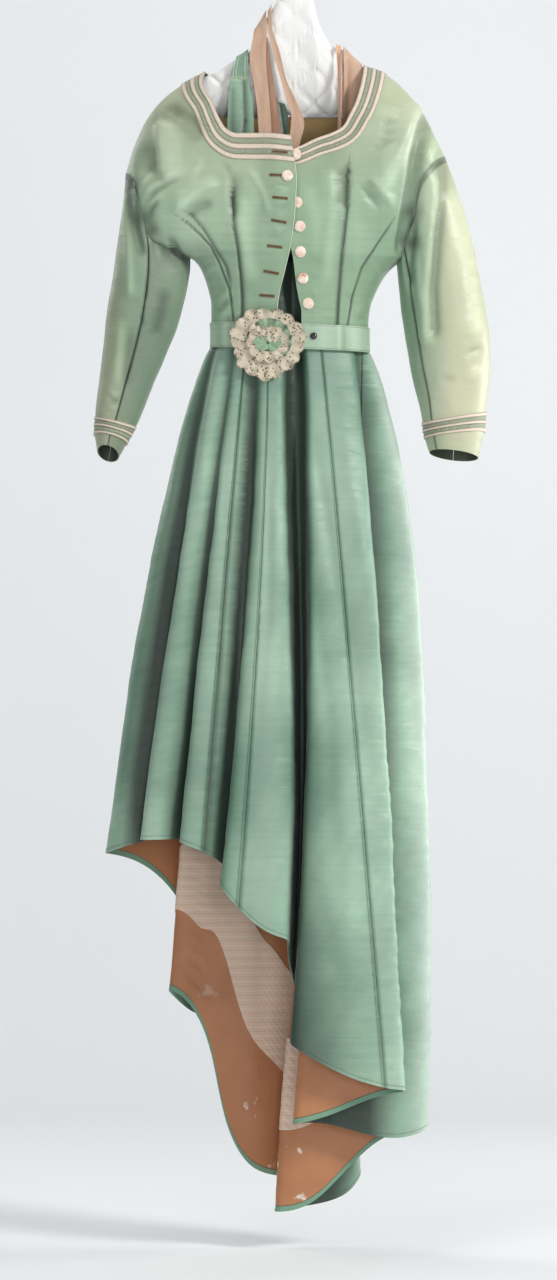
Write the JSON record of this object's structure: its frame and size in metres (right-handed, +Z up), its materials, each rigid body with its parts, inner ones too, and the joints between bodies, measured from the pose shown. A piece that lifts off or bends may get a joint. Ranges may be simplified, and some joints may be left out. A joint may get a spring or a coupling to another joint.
{
  "type": "ball gown with train hanging on a padded hanger",
  "caption": "Green silk ball gown with buttoned bodice, long sleeves, belt with lace rosette and lined train, hanging on a quilted padded hanger.",
  "frame": {"origin": "inside top of the hanger's hook, where the hook rests on its rail", "axes": "+Z up, the gown's front faces -Y, +X is the wearer's left"},
  "size_m": [0.6756, 0.2462, 2.1707],
  "materials": {
    "bodice_silk": "soft sheen silk taffeta, mint green, faded to straw on shoulders and sleeves",
    "skirt_silk": "silk taffeta, sage green, crisp sheen",
    "braid": "matt cream woven braid",
    "lining": "glazed brown cotton",
    "check_facing": "matt beige cotton with a pale windowpane check",
    "binding": "matt green wool braid",
    "ribbon": "pale pink silk ribbon, satin",
    "mustard_lining": "matt mustard cotton",
    "button": "cream thread over a wooden mould",
    "lace": "pale grey-cream cotton lace",
    "hanger_cover": "white quilted cotton over wadding",
    "hook_steel": "satin steel wire",
    "jet": "black glossy bead"
  },
  "bodies": {
    "root": {"skirt_side_right": "skirt_silk", "skirt_front_right": "skirt_silk", "skirt_front_centre": "skirt_silk", "skirt_side_left": "skirt_silk", "skirt_back_left": "skirt_silk", "skirt_back_centre": "skirt_silk", "skirt_back_right": "skirt_silk", "train_lining": "lining", "train_facing_check": "check_facing", "hem_binding": "binding", "bodice_front_right": "bodice_silk", "neck_braid_1_right": "braid", "neck_braid_2_right": "braid", "neck_braid_3_right": "braid", "bodice_front_left": "bodice_silk", "neck_braid_1_left": "braid", "neck_braid_2_left": "braid", "neck_braid_3_left": "braid", "bodice_back": "bodice_silk", "neck_braid_1_back": "braid", "neck_braid_2_back": "braid", "neck_braid_3_back": "braid", "bodice_back_lining": "mustard_lining", "sleeve_upper_right": "bodice_silk", "sleeve_under_right": "bodice_silk", "cuff_braid_1_right": "braid", "cuff_braid_2_right": "braid", "cuff_braid_3_right": "braid", "sleeve_upper_left": "bodice_silk", "sleeve_under_left": "bodice_silk", "cuff_braid_1_left": "braid", "cuff_braid_2_left": "braid", "cuff_braid_3_left": "braid", "button_1": "button", "button_2": "button", "button_3": "button", "button_4": "button", "button_5": "button", "button_6": "button", "button_7": "button", "belt": "bodice_silk", "belt_hook_bead": "jet", "rosette_base": "bodice_silk", "rosette_lace_outer": "lace", "rosette_lace_inner": "lace", "rosette_centre": "bodice_silk", "hanger_pad": "hanger_cover", "hanger_hook": "hook_steel", "hanger_loop_right_outer": "ribbon", "hanger_loop_right_inner": "ribbon", "hanger_loop_left_outer": "ribbon", "hanger_loop_left_inner": "ribbon", "waist_tab": "skirt_silk"}
  },
  "joints": []
}
